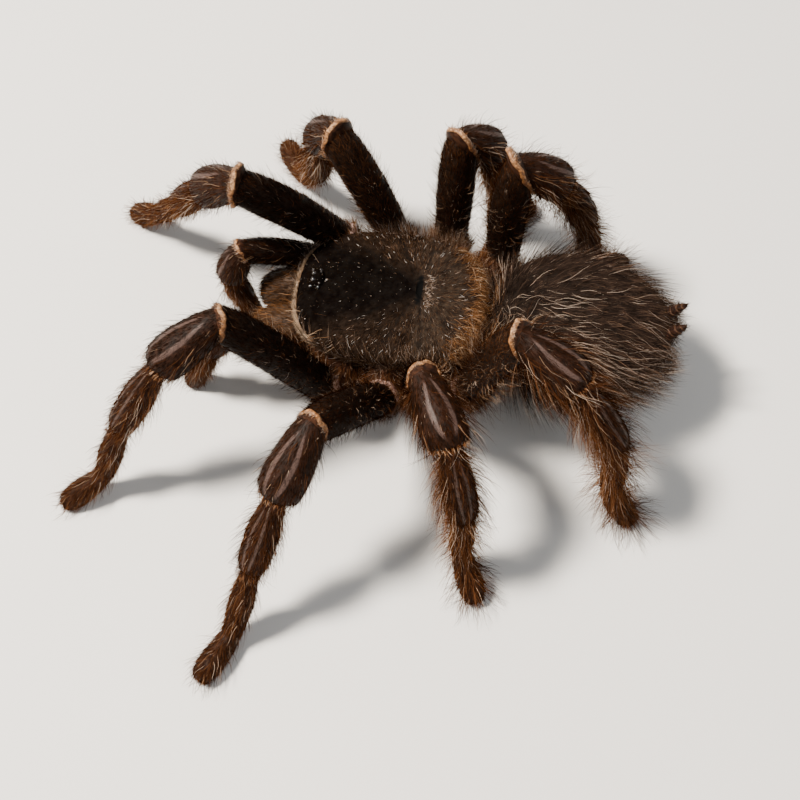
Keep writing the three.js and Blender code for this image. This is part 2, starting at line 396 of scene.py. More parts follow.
# %% Marks on a skin
def mark(piece, name, values):
    """Writes one number on each point of a piece."""
    layer = piece.data.attributes.new(name, "FLOAT", "POINT")
    layer.data.foreach_set("value", np.asarray(values, np.float32))


def read(rows, field, width=3, kind=np.float32):
    """A field of every row of some mesh data, as an array."""
    values = np.empty(len(rows) * width, kind)
    rows.foreach_get(field, values)
    return values.reshape(-1, width)


def points_of(piece):
    return read(piece.data.vertices, "co").astype(float)


def normals_of(piece):
    return read(piece.data.vertex_normals, "vector").astype(float)


def directions(span):
    """Out along a span, to its side, and to its back, as three unit arrays."""
    out = (span[1] - span[0]).normalized()
    side = out.cross(UP).normalized()
    return [np.array(v) for v in (out, side, side.cross(out))]


def places_along(piece, span):
    """How far out along a span each point of a piece lies, from 0 to 1."""
    return (points_of(piece) - np.array(span[0])) @ directions(span)[0] / (span[1] - span[0]).length


def mark_span(piece, span, lanes=None):
    """Writes along and around on a piece, and its lane if the angles of its stripes are given."""
    side, back = directions(span)[1:]
    facing = normals_of(piece)
    along = places_along(piece, span)
    around = np.arctan2(facing @ side, facing @ back)
    mark(piece, "along", along)
    mark(piece, "around", around)
    if lanes:
        mark(piece, "lane", np.abs(around) / np.interp(along, *lanes))


# %% [markdown]
# ## Finishes of the legs
#
# The bare skin between the hairs is dark and leathery. The back of every knee and shin carries
# the two long bald stripes that all such spiders have. They bow apart in the middle and run
# together at both ends. A coat on the shader gives their smooth skin its mauve sheen.


# %% Finishes of the legs
LANE_REACH = 0.42  # half the width of a stripe, as a share of its way from the middle of the back


def leg_skin(name, dark, light, bare=None):
    """Leathery skin, with two bald stripes where the lane is 1 if it has a colour for them."""
    finish = Finish(name, Specular_IOR_Level=0.08, Coat_Roughness=0.36)
    mottle = finish.noise(900)
    grain = finish.noise(4200, 2)
    base = finish.mix(mottle.between(0.35, 0.7), dark, light)
    if bare:
        along = finish.attribute("along")
        lane = finish.attribute("lane").ridge(1, LANE_REACH).between(0, 0.6)
        drawn = lane * along.between(0.03, 0.16) * along.between(0.99, 0.88)
        streaks = finish.patchy(grain, bare, tuple(0.45 * part for part in bare))
        base = finish.mix(drawn, base, streaks)
        finish.feed(finish.shader.inputs["Coat Weight"], drawn * 0.07)
    finish.surface(base, 0.35 + mottle * 0.4, grain + mottle, 0.12 * MM, 0.5)
    return finish


KNEE_STRIPE = (0.072, 0.044, 0.036)
SHIN_STRIPE = (0.070, 0.042, 0.032)

part_finishes = {
    "coxa": leg_skin("hip_skin", (0.02, 0.008, 0.004), (0.055, 0.024, 0.014)),
    "femur": leg_skin("thigh_skin", (0.004, 0.002, 0.001), (0.014, 0.007, 0.004)),
    "patella": leg_skin("knee_skin", (0.006, 0.0025, 0.001), (0.022, 0.009, 0.005), KNEE_STRIPE),
    "tibia": leg_skin("shin_skin", (0.009, 0.004, 0.002), (0.030, 0.012, 0.006), SHIN_STRIPE),
    "foot": leg_skin("foot_skin", (0.012, 0.005, 0.002), (0.038, 0.016, 0.008)),
}
part_finishes["tarsus"] = part_finishes["foot"]
print(len(bpy.data.materials), "finishes so far")

# %% [markdown]
# ## Skins of the legs
#
# A live leg is a row of tubes, and a dry one shrinks between its joints and stays full at the
# knees. Sculpting each segment would be slow, and they differ only in size, so one profile for
# each kind of segment moves its skin in or out by fractions of a millimetre.

# %% Skins of the legs
LANES = {  # places along a part, and the angle from its back to the middle of a stripe there
    "patella": ((0, 0.1, 0.4, 0.75, 1), (0.16, 0.24, 0.46, 0.44, 0.26)),
    "tibia": ((0, 0.1, 0.45, 0.8, 1), (0.2, 0.26, 0.36, 0.3, 0.2)),
}
SWELLINGS = {  # places along a part, and how many millimetres the skin stands proud there
    "coxa": ((0, 0.35, 0.75, 1), (0, 0.9, 0.9, 0.2)),
    "patella": ((0, 0.2, 0.65, 0.9, 1), (-0.2, 0.3, 0.75, 0.5, -0.1)),
    "tibia": ((0, 0.15, 0.4, 0.85, 1), (-0.7, -0.5, 0.1, 0.0, -0.5)),
    "foot": ((0, 0.3, 0.56, 0.63, 0.8, 1), (-0.3, 0.0, -0.3, -0.1, 0.3, 0.0)),
}


def swell(piece, span, places, amounts):
    """Moves a skin outwards by amounts that change along it, but not below the floor."""
    points = points_of(piece)
    proud = np.interp(places_along(piece, span), places, amounts)
    points += normals_of(piece) * proud[:, None] * MM
    points[:, 2] = np.maximum(points[:, 2], 0)
    piece.data.vertices.foreach_set("co", points.reshape(-1))
    piece.data.update()


skins = {}
for limb, chain in chains.items():
    for node in chain:
        part = node.split("_")[0]
        skins[node] = skin_of(node, part_finishes[part])
        mark_span(skins[node], spans[node], LANES.get(part))
        if part in SWELLINGS:
            swell(skins[node], spans[node], *SWELLINGS[part])
print(len(skins), "segments have a skin")

# %% [markdown]
# ## Pale bands at the joints
#
# Where the thigh meets the knee, the stiff skin stops and the soft lining shows as a flat tan
# ring, paler on top and orange below. A circle spun about the joint makes the ring, and it is
# squeezed to the oval outline of the cut end, so that it sits on the leg at any angle. A torus
# has a round section, and this one is flat and wide like a strap.


# %% Pale bands at the joints
BAND_CORNERS = 10  # of its section
BAND_STEPS = 48  # round the leg
UNEVEN = 0.17 * MM


def ring_axes(end):
    """The frame of a cut end, and how far its outline reaches along the two axes."""
    centre, facing, outline = end
    across = facing.cross(UP).normalized()
    down = facing.cross(across)
    reaches = [max(abs((point - centre).dot(axis)) for point in outline) for axis in (across, down)]
    turn = Matrix((across, down, facing)).transposed().to_4x4()
    return Matrix.Translation(centre) @ turn, reaches


def add_band(name, end, width, thickness, proud, finish):
    """An oval, slightly wavy ring round a cut end."""
    place, (reach, other_reach) = ring_axes(end)
    strap = Matrix.Rotation(math.pi / 2, 4, "X") @ Matrix.Diagonal((thickness, width, 1, 1))
    strap = Matrix.Translation((reach + proud, 0, 0)) @ strap
    shape = bmesh.new()
    bmesh.ops.create_circle(shape, segments=BAND_CORNERS, radius=0.5, matrix=strap)
    sweep = {"cent": (0, 0, 0), "axis": UP, "angle": math.tau, "steps": BAND_STEPS}
    bmesh.ops.spin(shape, geom=[*shape.verts, *shape.edges], use_merge=True, **sweep)
    bmesh.ops.remove_doubles(shape, verts=shape.verts, dist=1e-7)
    for v in shape.verts:
        v.co.y *= (other_reach + proud) / (reach + proud)
        turn = math.atan2(v.co.y, v.co.x)
        v.co.z += UNEVEN * (math.sin(5 * turn + 30 * reach / MM) + 0.6 * math.sin(11 * turn))
        v.co.xy *= 1 + 0.012 * math.sin(7 * turn + 20 * reach / MM) + 0.01 * math.sin(13 * turn)
    bmesh.ops.transform(shape, matrix=place, verts=shape.verts)
    bmesh.ops.recalc_face_normals(shape, faces=shape.faces)
    return add_piece(name, shape, finish)


band_finish = Finish("joint_lining", Specular_IOR_Level=0.35)
grain = band_finish.noise(1600)
patches = band_finish.noise(380, 2) * 1.4 - 0.7
band_low = (band_finish.attribute("low") + patches).between(-0.25, 0.4)
cream = band_finish.patchy(grain, (0.18, 0.08, 0.033), (0.54, 0.32, 0.165))
rust = band_finish.patchy(grain, (0.10, 0.035, 0.010), (0.42, 0.17, 0.045))
tan = band_finish.mix(band_low, cream, rust)
streaks = band_finish.noise(2800, 2).between(0.42, 0.6) * 0.75
tan = band_finish.mix(streaks, tan, (0.05, 0.018, 0.007))
band_finish.surface(tan, 0.45 + grain * 0.3, grain, 0.15 * MM)

hip_band_finish = Finish("hip_lining", Specular_IOR_Level=0.4)
grain = hip_band_finish.noise(1100)
hip_band_low = hip_band_finish.attribute("low").between(0.1, 0.6)
pink = hip_band_finish.patchy(grain, (0.20, 0.09, 0.065), (0.46, 0.30, 0.25))
pink = hip_band_finish.mix(hip_band_low, pink, (0.05, 0.022, 0.014))
hip_band_finish.surface(pink, 0.35 + grain * 0.3, grain, 0.15 * MM)

# %% [markdown]
# ## Joint linings
#
# Behind each band the joint is open, because the two segments don't touch. On the real animal a
# soft brown skin closes it. Bridging the two cut ends would follow it exactly, but little of it
# shows, so a ball pressed flat between them is enough.

# %% Joint linings
LINING_DEPTH = 1.5 * MM

depth_finish = leg_skin("joint_depth", (0.012, 0.005, 0.003), (0.05, 0.020, 0.010))


def add_lining(name, end):
    """A ball pressed flat, as wide as the cut end."""
    place, reaches = ring_axes(end)
    pressed = place @ Matrix.Diagonal((*reaches, LINING_DEPTH, 1))
    shape = bmesh.new()
    bmesh.ops.create_uvsphere(shape, u_segments=24, v_segments=10, radius=1, matrix=pressed)
    add_piece(name, shape, depth_finish)


def close_joint(node, width, thickness, proud, finish):
    """The band and the lining at the far joint of a node. Low is 0 on top of a band, 1 below."""
    end = joints[node][0]
    band = add_band(f"band_{node}", end, width * MM, thickness * MM, proud * MM, finish)
    heights = points_of(band)[:, 2]
    mark(band, "low", np.clip((heights.max() - heights) / np.ptp(heights) * 1.5 - 0.15, 0, 1))
    add_lining(f"lining_{node}", end)


for limb, chain in chains.items():
    close_joint(chain[1], 1.0 if limb in LEGS else 0.7, 0.5, -0.22, band_finish)
    if limb in LEGS:
        close_joint(chain[0], 1.7, 0.8, 0.0, hip_band_finish)
print(len(chains), "knees and", len(LEGS), "hips are closed")

# %% [markdown]
# ## The back plate
#
# The back plate of the front body has a nearly black wedge on the head. Behind it, thin furrows
# run out like spokes from a short groove in the middle, one between each pair of legs, where
# the muscles of the gut are fixed inside. They are too fine to model, so the finish draws them
# from two marks: "bearing" is the angle round the groove, and "reach" is the way from it. It
# gives them a shallow bump with painted shade in them, and paints the pit of the groove near
# black as its shade.


# %% The back plate
GROOVE_FROM_FRONT = 25.4  # millimetres, as are the next two
GROOVE_HALF = (3.4, 0.7)  # to the side and ahead
PLATE_REACH = 16
FURROWS = (0.62, 1.15, 1.7, 2.3)  # bearings from straight ahead, in radians

plate_low, plate_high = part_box("carapace")
groove_y = plate_low.y + GROOVE_FROM_FRONT * MM
groove = Vector(((plate_low.x + plate_high.x) / 2, groove_y, plate_high.z))


def off_middle(points):
    """How far points lie to the left of the groove, in millimetres."""
    return (points[:, 0] - groove.x) / MM


def ahead_of_groove(points):
    """How far points lie ahead of the groove, in millimetres."""
    return (groove.y - points[:, 1]) / MM


def smooth_share(values, low, high):
    """0 at low and below, 1 at high and above."""
    return np.clip((values - low) / (high - low), 0, 1)


def head_share(points):
    """1 on the black wedge of the head, which narrows back to the groove, and 0 beside it."""
    across, ahead = np.abs(off_middle(points)), ahead_of_groove(points)
    return smooth_share(5.4 + 0.42 * ahead - across, 0, 5) * smooth_share(ahead, -0.5, 1)


def mark_plate(piece):
    """Writes bearing, reach, ahead, pit and head on the back plate."""
    points = points_of(piece)
    side, ahead = off_middle(points), ahead_of_groove(points)
    mark(piece, "bearing", np.abs(np.arctan2(side, ahead)))
    mark(piece, "reach", np.hypot(side, ahead) / PLATE_REACH)
    mark(piece, "ahead", ahead / GROOVE_FROM_FRONT)
    mark(piece, "pit", (np.abs(side) < GROOVE_HALF[0]) & (np.abs(ahead) < GROOVE_HALF[1]))
    mark(piece, "head", head_share(points))


plate_finish = Finish("back_plate", Specular_IOR_Level=0.0)
plate_bearing = plate_finish.attribute("bearing")
plate_reach = plate_finish.attribute("reach")
grain = plate_finish.noise(700)
fine_grain = plate_finish.noise(3500, 2)
furrow = plate_bearing.ridge(FURROWS[0], 0.07)
for bearing in FURROWS[1:]:
    furrow = furrow + plate_bearing.ridge(bearing, 0.09)
furrow = furrow * plate_reach.between(0.1, 0.35) * plate_reach.between(1.05, 0.8)
front = plate_finish.patchy(grain, (0.0015, 0.001, 0.001), (0.005, 0.004, 0.0035), 0.75)
rear = plate_finish.patchy(grain, (0.012, 0.009, 0.007), (0.035, 0.025, 0.018), 0.75)
sides = plate_finish.patchy(grain, (0.006, 0.004, 0.003), (0.020, 0.013, 0.009), 0.75)
base = plate_finish.mix(plate_finish.attribute("ahead").between(0.1, -0.1), sides, rear)
base = plate_finish.mix(plate_finish.attribute("head"), base, front)
# Painted shade: the furrows are half darkened and the pit is painted near black, as the shade in
# these grooves.
cut = furrow * 0.5 + plate_finish.attribute("pit")
base = plate_finish.mix(cut, base, (0.003, 0.003, 0.003))
relief = grain * 0.4 + fine_grain * 0.3 - furrow * 0.4
plate_finish.surface(base, 0.42 + grain * 0.4, relief, 0.3 * MM)

plate = skins["carapace"] = skin_of("carapace", plate_finish)
mark_plate(plate)
print("back plate:", len(plate.data.polygons), "faces")

# %% [markdown]
# ## The soft rear body and the chest
#
# The rear body is a soft bag without a plate, and its dull skin is almost hidden by the pile. The
# stiff chest plate lies between the roots of the legs. Neither needs more than its own smoothed
# solid, so only their finishes are new: near black for the bag, and brown leather for the chest.

# %% The soft rear body and the chest
SACK_TONES = [(0.35, (0.006, 0.005, 0.004)), (0.65, (0.02, 0.014, 0.011))]

sack_finish = Finish("soft_belly", Specular_IOR_Level=0.03)
grain = sack_finish.noise(420)
fine_grain = sack_finish.noise(2600, 2)
base = sack_finish.ramp(grain * 0.6 + fine_grain * 0.4, SACK_TONES)
sack_finish.surface(base, 0.55 + grain * 0.4, grain + fine_grain * 0.5, 0.3 * MM)
skins["abdomen"] = skin_of("abdomen", sack_finish)

chest_finish = leg_skin("chest_skin", (0.025, 0.014, 0.010), (0.07, 0.036, 0.025))
skins["sternum"] = skin_of("sternum", chest_finish)
print(len(skins), "skins so far")

# %% [markdown]
# ## Jaws, fangs and spinnerets
#
# The two jaws are stout and hairy, and each carries a polished black fang that folds down under
# it. At the far end the spinnerets are two soft fingers with pale rings between their joints. A
# ring could be modelled, but it stands hardly proud, so the finish paints it where "along" says.

# %% Jaws, fangs and spinnerets
RINGS_ALONG = (0.22, 0.45, 0.68, 0.86)
TIPWARD = {"chelicera": Vector((0, -1, 0)), "fang": -UP, "spinneret": Vector((0, 1, 0))}

jaw_finish = leg_skin("jaw_skin", (0.02, 0.012, 0.008), (0.05, 0.03, 0.018))
fang_finish = Finish("polished_fang", Specular_IOR_Level=0.6, Coat_Roughness=0.08)
near_root = fang_finish.attribute("along").between(0.3, 0.0)
grain = fang_finish.noise(1500)
base = fang_finish.mix(near_root, (0.008, 0.006, 0.006), (0.06, 0.015, 0.008))
fang_finish.surface(base, 0.12 + grain * 0.12, grain, 0.02 * MM, 0.3)

ring_finish = Finish("ringed_finger", Specular_IOR_Level=0.1)
along = ring_finish.attribute("along")
grain = ring_finish.noise(1800)
rings = along.ridge(RINGS_ALONG[0], 0.05)
for place in RINGS_ALONG[1:]:
    rings = rings + along.ridge(place, 0.045)
base = ring_finish.patchy(grain, (0.006, 0.003, 0.002), (0.020, 0.007, 0.004))
base = ring_finish.mix(rings * 0.24, base, (0.22, 0.11, 0.06))
ring_finish.surface(base, 0.5 + grain * 0.3, grain - rings, 0.2 * MM)


def longest_span(node, tipward):
    """The two points of a node that lie farthest apart, with its tip as the second."""
    first = farthest(node, middle(node))
    return tuple(sorted((first, farthest(node, first)), key=tipward.dot))


finishes = {"chelicera": jaw_finish, "fang": fang_finish, "spinneret": ring_finish}
for kind, tipward in TIPWARD.items():
    for hand in "LR":
        node = f"{kind}_{hand}"
        spans[node] = longest_span(node, tipward)
        skins[node] = skin_of(node, finishes[kind])
        mark_span(skins[node], spans[node])
        print(node, round((spans[node][1] - spans[node][0]).length / MM, 1), "mm long")

# %% [markdown]
# ## Eight small eyes
#
# A low mound just behind the jaws carries two rows of four beads. Each is an icosphere pressed
# into the mound, because its even triangles keep such a small ball round. A clear coat gives it
# the spark by which the eyes are found at all.

# %% Eight small eyes
MOUND_FROM_FRONT = 4.4 * MM
# From the middle of the mound to the side and back, and the radius, in millimetres
EYES = [(0.75, -0.55, 0.5), (1.9, -0.9, 0.42), (1.35, 0.75, 0.3), (2.05, 0.6, 0.4)]
SUNK = 0.3  # how much of its radius an eye lies lower than the skin

eye_finish = Finish("eye_glass", Specular_IOR_Level=0.7, Coat_Weight=1.0, Coat_Roughness=0.03)
shade = eye_finish.noise(1200)
base = eye_finish.mix(shade.between(0.4, 0.7), (0.006, 0.006, 0.008), (0.03, 0.022, 0.015))
eye_finish.surface(base, 0.05 + shade * 0.1)


def on_top(piece, x, y):
    """The point of a piece that is seen from straight above."""
    hit, place, _, _ = piece.ray_cast(Vector((x, y, 1)), -UP)
    if not hit:
        raise ValueError("nothing lies under this point")
    return place


beads = bmesh.new()
for side, back, radius in EYES:
    y = plate_low.y + MOUND_FROM_FRONT + back * MM
    for hand in (-1, 1):
        place = on_top(plate, groove.x + hand * side * MM, y)
        pressed = Matrix.Translation(place - UP * SUNK * radius * MM)
        bmesh.ops.create_icosphere(beads, subdivisions=3, radius=radius * MM, matrix=pressed)
add_piece("eyes", beads, eye_finish)
print("eyes stand at", round(place.z / MM, 1), "mm")

# %% [markdown]
# ## Claws
#
# Every leg ends in two small hooked claws, which are mostly lost in the pad of hairs. A curve
# with a taper would bend by itself, but a thin cone is as good here: each of its rings is moved
# down by the square of its way to the tip.


# %% Claws
CLAW = {"radius1": 0.24 * MM, "radius2": 0.02 * MM, "depth": 2 * MM}
CLAW_DROP = 0.55 * MM
CLAW_OFFSETS = (-0.4 * MM, -0.5 * MM, 0.75 * MM)  # out, to the side and up, from the tip of the leg


def add_claws(limb):
    """Two hooked claws at the tip of a leg."""
    tip = spans[chains[limb][-1]][1]
    out, side, _ = [Vector(v) for v in directions(spans[chains[limb][-1]])]
    out = Vector((out.x, out.y, 0)).normalized()
    shape = bmesh.new()
    bmesh.ops.create_cone(shape, segments=8, cap_ends=True, **CLAW)
    edges = [e for e in shape.edges if abs(e.verts[0].co.z - e.verts[1].co.z) > CLAW["depth"] / 2]
    bmesh.ops.subdivide_edges(shape, edges=edges, cuts=5)
    for v in shape.verts:
        v.co.x += CLAW_DROP * (v.co.z / CLAW["depth"] + 0.5) ** 2
    turn = Matrix((-UP, side, out)).transposed().to_4x4()
    place = tip + out * CLAW_OFFSETS[0] + side * CLAW_OFFSETS[1] + UP * CLAW_OFFSETS[2]
    bmesh.ops.transform(shape, matrix=Matrix.Translation(place) @ turn, verts=shape.verts)
    twin = bmesh.ops.duplicate(shape, geom=[*shape.verts, *shape.edges, *shape.faces])["geom"]
    twin = [v for v in twin if isinstance(v, bmesh.types.BMVert)]
    bmesh.ops.translate(shape, vec=side * MM, verts=twin)
    bmesh.ops.recalc_face_normals(shape, faces=shape.faces)
    claws = add_piece(f"claws_{limb}", shape, fang_finish)
    mark(claws, "along", np.ones(len(claws.data.vertices)))


for leg in LEGS:
    add_claws(leg)
print(2 * len(LEGS), "claws")

# %% [markdown]
# ## How a hair is made
#
# Blender has hair systems, but they live only inside Blender. A hair that must survive in a
# plain model file is a mesh: a blade as wide as a real bristle at its root and a point at its
# tip. A short hair is a single triangle, and a long one has up to five steps, so that it can
# curve. All the hairs of one region are joined in one mesh, built from arrays, because one large
# mesh is quick to make and thousands of objects are not.


# %% How a hair is made
ROOT_DEPTH = 0.1 * MM  # how deep a hair starts under the skin
TIP_FADE = 0.08  # how much paler its tip is than its middle, and how much darker its root
MOST_ROLL = 1.1  # how far a blade turns about its own length, in radians
FLOOR_GAP = 0.02 * MM  # no hair goes lower than this


def unit(vectors):
    return vectors / np.maximum(np.linalg.norm(vectors, axis=1, keepdims=True), 1e-12)


class Coat:
    """The hairs of one region, gathered patch by patch and joined in one mesh."""

    def __init__(self, seed):
        self.random = np.random.default_rng(seed)
        self.points = []
        self.faces = []
        self.tones = []
        self.total = 0

    def roots(self, piece, count, share=None):
        """Random places on a skin with their marks, spread by area times an optional share."""
        mesh = piece.data
        mesh.calc_loop_triangles()
        corners = read(mesh.loop_triangles, "vertices", kind=np.int32)
        kept = [name for name in ("along", "around", "lane") if name in mesh.attributes]
        marks = {name: read(mesh.attributes[name].data, "value", 1)[:, 0] for name in kept}
        triangle = points_of(piece)[corners]
        first, second, third = triangle.transpose(1, 0, 2)
        weight = np.linalg.norm(np.cross(second - first, third - first), axis=1)
        if share:
            middles = {name: values[corners].mean(axis=1) for name, values in marks.items()}
            weight = weight * np.maximum(share(triangle.mean(axis=1), middles), 0)
        chosen = self.random.choice(len(corners), count, p=weight / weight.sum())
        blend = self.random.dirichlet((1, 1, 1), count)
        corners = corners[chosen]
        found = {name: (values[corners] * blend).sum(axis=1) for name, values in marks.items()}
        found["place"] = (triangle[chosen] * blend[:, :, None]).sum(axis=1)
        found["facing"] = unit((normals_of(piece)[corners] * blend[:, :, None]).sum(axis=1))
        return found

    def rim(self, end, count):
        """Random places round the outline of a cut end, facing away from its middle."""
        place, (reach, other_reach) = ring_axes(end)
        turn = self.random.uniform(0, math.tau, count)
        height = self.random.normal(0, 0.2 * MM, count)
        flat = np.stack([np.cos(turn) * reach, np.sin(turn) * other_reach, height], axis=1)
        turned = np.array(place.to_3x3()).T
        facing = unit(flat * (1, 1, 0) @ turned)
        return {"place": flat @ turned + np.array(place.translation), "facing": facing}

    def shades(self, roots, low, high, pale_share, pale=0.85):
        """A tone for each root: most between low and high, and a share of them pale."""
        count = len(roots["place"])
        values = self.random.uniform(low, high, count)
        chosen = self.random.random(count) < pale_share
        values[chosen] = self.random.normal(pale, 0.07, chosen.sum())
        return values

    def grow(self, roots, comb, length, width, lift, tone, steps=2, wave=0.0, sag=0.0, stray=0.2):
        """Grows a hair on every root. Comb is a direction or one per root, length and width are in
        millimetres, and lift is the angle above the skin in degrees at the root and at the tip. A
        pair of tones stands for any tone between the two."""
        place, facing = roots["place"], roots["facing"]
        count = len(place)
        if isinstance(tone, tuple):
            tone = self.random.uniform(*tone, count)
        comb = np.broadcast_to(comb, (count, 3)) + self.random.normal(0, stray, (count, 3))
        comb = unit(comb - (comb * facing).sum(axis=1, keepdims=True) * facing)
        length = np.broadcast_to(length, count) * self.random.uniform(0.7, 1.25, count) * MM
        width = np.broadcast_to(width, count) * self.random.uniform(0.75, 1.2, count) * MM
        rise = np.radians(np.array(lift)[:, None] + self.random.normal(0, 6, count))[:, :, None]
        heads = [comb * np.cos(angle) + facing * np.sin(angle) for angle in rise]
        across = unit(np.cross(heads[0], facing))
        roll = self.random.uniform(-MOST_ROLL, MOST_ROLL, count)[:, None]
        phase = self.random.uniform(0, math.tau, count)[:, None]
        bank = across * np.cos(roll) + unit(np.cross(across, heads[0])) * np.sin(roll)
        spine = [place - facing * ROOT_DEPTH]
        for step in range(steps):
            share = step / max(steps - 1, 1)
            head = heads[0] * (1 - share) + heads[1] * share
            head = head + across * wave * np.sin(phase + 4 * share) - np.array([0, 0, sag]) * share
            spine.append(spine[-1] + unit(head) * (length / steps)[:, None])
        rows = []
        for step in range(steps):
            half = bank * (width * (1 - 0.75 * step / steps) / 2)[:, None]
            rows += [spine[step] - half, spine[step] + half]
        rows.append(spine[-1])
        points = np.stack(rows, axis=1)
        pattern = []
        for step in range(steps - 1):
            a = 2 * step
            pattern += [(a, a + 1, a + 3), (a, a + 3, a + 2)]
        pattern.append((2 * steps - 2, 2 * steps - 1, 2 * steps))
        starts = self.total + np.arange(count) * (2 * steps + 1)
        self.faces.append((starts[:, None, None] + np.array(pattern)).reshape(-1, 3))
        self.points.append(points.reshape(-1, 3))
        fade = np.repeat(np.linspace(-TIP_FADE, TIP_FADE, steps + 1), 2)[:-1]
        tone = np.broadcast_to(tone, count)[:, None] + fade
        self.tones.append(np.clip(tone, 0, 1).reshape(-1))
        self.total += points.shape[0] * points.shape[1]

    def join(self, name, finish):
        """Makes one mesh of all the hairs so far."""
        points, faces = np.concatenate(self.points), np.concatenate(self.faces)
        points[:, 2] = np.maximum(points[:, 2], FLOOR_GAP)
        mesh = bpy.data.meshes.new(name)
        mesh.vertices.add(len(points))
        mesh.vertices.foreach_set("co", points.astype(np.float32).reshape(-1))
        mesh.loops.add(faces.size)
        mesh.loops.foreach_set("vertex_index", faces.reshape(-1).astype(np.int32))
        mesh.polygons.add(len(faces))
        mesh.polygons.foreach_set("loop_start", np.arange(0, faces.size, 3, dtype=np.int32))
        mesh.update(calc_edges=True)
        piece = put(name, mesh, finish)
        mark(piece, "tone", np.concatenate(self.tones))
        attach(piece, "root")
        print(name, len(faces), "triangles")


# %% [markdown]
# ## Colours of hair
#
# A hair is nearly one colour from root to tip, and the next one is another: black, rust, tan or
# cream. A material for each would be far too many. Instead every hair carries a number, its
# tone, and the finish turns the tone into a colour. Neighbouring hairs of a real coat cling
# together in locks, so the roots in one small cell also share a shift of their tone.


# %% Colours of hair
def hair_finish(name, stops):
    """Hair that reads its colour from its tone: dark at 0 and pale at 1."""
    finish = Finish(name, Specular_IOR_Level=0.0)
    tone = finish.attribute("tone")
    finish.surface(finish.ramp(tone, stops), 0.42 + tone * 0.15)
    return finish


LEG_HAIR = [
    (0.0, (0.004, 0.002, 0.001)),
    (0.22, (0.017, 0.0056, 0.002)),
    (0.45, (0.057, 0.021, 0.008)),
    (0.65, (0.14, 0.058, 0.023)),
    (0.8, (0.29, 0.17, 0.095)),
    (1.0, (0.62, 0.49, 0.39)),
]
BODY_HAIR = [
    (0.0, (0.005, 0.002, 0.001)),
    (0.3, (0.021, 0.010, 0.0045)),
    (0.55, (0.075, 0.034, 0.014)),
    (0.75, (0.24, 0.105, 0.040)),
    (1.0, (0.60, 0.45, 0.31)),
]
leg_hair = hair_finish("leg_hair", LEG_HAIR)
body_hair = hair_finish("body_hair", BODY_HAIR)


def fine(tone):
    """The width of each hair in millimetres: the paler, the finer, because pale ones stand out."""
    return 0.1 - 0.045 * smooth_share(tone, 0.5, 0.8)


def locks(across, along):
    """A number from -0.5 to 0.5 for each root, the same for all the roots of one lock of hair."""
    cells = 12.99 * np.floor(across) + 78.23 * np.floor(along)
    return np.modf(np.abs(np.sin(cells) * 4375.85))[0] - 0.5


print("hair colours:", len(LEG_HAIR), "on the legs and", len(BODY_HAIR), "on the body")

# %% [markdown]
# ## What grows on a leg
#
# Short straight hairs lie close along the leg and point to the foot, and long fine ones stand
# out from them. The bald stripes stay bare: a root that falls on one is mostly left out. The
# thighs are the blackest part, and the shins and feet turn to a red brown with some pale hairs.
# Tables hold all this, because the ten limbs differ only in their numbers.

# %% What grows on a leg
# part: hairs, length, lift, lowest and highest tone, share of pale ones
SHORT = {
    "coxa": (3600, 3.2, 34, 0.2, 0.58, 0.04),
    "femur": (8600, 1.8, 15, 0.0, 0.3, 0.01),
    "patella": (4600, 1.6, 11, 0.05, 0.34, 0.02),
    "tibia": (6400, 1.8, 11, 0.1, 0.42, 0.02),
    "foot": (9000, 1.6, 13, 0.08, 0.42, 0.025),
    "tarsus": (4600, 1.5, 14, 0.1, 0.44, 0.02),
}
LONG = {
    "coxa": (160, 4.0, (36, 14), 0.4, 0.75, 0.15),
    "femur": (340, 4.0, (44, 18), 0.3, 0.6, 0.45),
    "patella": (320, 4.4, (33, 13), 0.1, 0.5, 0.14),
    "tibia": (620, 4.8, (32, 12), 0.16, 0.56, 0.14),
    "foot": (640, 4.2, (32, 14), 0.22, 0.6, 0.09),
    "tarsus": (260, 3.0, (34, 16), 0.3, 0.66, 0.15),
}
BRISTLES = {"femur": 620, "patella": 160, "tibia": 260}  # dark hairs that stand up straight
# The tiny pale hairs on a knee are painted glints: they stand in for the shine of its glossy black
# hair.
KNEE_GLINT_HAIRS = 70  # tiny pale hairs on the sides of a knee
KNEE_OVERHANG = 340  # dark hairs of a thigh that reach over the ring of its knee
PALP_SHARE = 0.55  # a palp has this share of the hairs of a leg
SHAGGY = {"L3": 1.6, "L4": 1.85, "R3": 1.35, "R4": 1.55}  # the hind legs have longer hairs
BUSHY = {"L4": 16, "R4": 12, "L3": 6}  # and on their feet these stand out by more degrees
FRINGES = {  # hairs round the far end of a part: how many, length, lift, tones
    "coxa": (200, 2.4, (38, 6), (0.3, 0.9)),
    "femur": (260, 1.1, (34, 2), (0.6, 0.92)),
    "patella": (150, 1.0, (24, 4), (0.45, 0.88)),
    "tibia": (120, 1.3, (28, 6), (0.3, 0.75)),
}
PALER = {  # how much paler the hairs of a segment are than those of its kind
    "femur_L2": 0.14,
    "femur_L3": 0.12,
    "femur_L4": 0.33,
    "femur_R2": 0.28,
    "femur_R3": 0.1,
    "femur_R4": 0.16,
    "patella_L1": -0.1,
    "patella_L4": -0.08,
    "tibia_L4": -0.05,
    "foot_L3": -0.03,
    "foot_L4": -0.15,
}
# How much the locks of a part differ
LOCK_SHADE = {"coxa": 0.3, "femur": 0.16, "tibia": 0.34, "foot": 0.34, "tarsus": 0.3}
WARM_SIDES = {"patella": 0.04, "tibia": 0.2, "foot": 0.12}  # how much paler the undersides are
print("short hairs on a leg:", sum(SHORT[part][0] for part in LEG_PARTS))

# %% [markdown]
# ## The coat of the legs
#
# Each limb gets its hairs segment by segment, from the hip out, and they are joined in one
# mesh. Where a kind of hair doesn't grow evenly, a small function gives its share at each place.
# A painted map could do that too, but a rule fits every segment whatever its size.


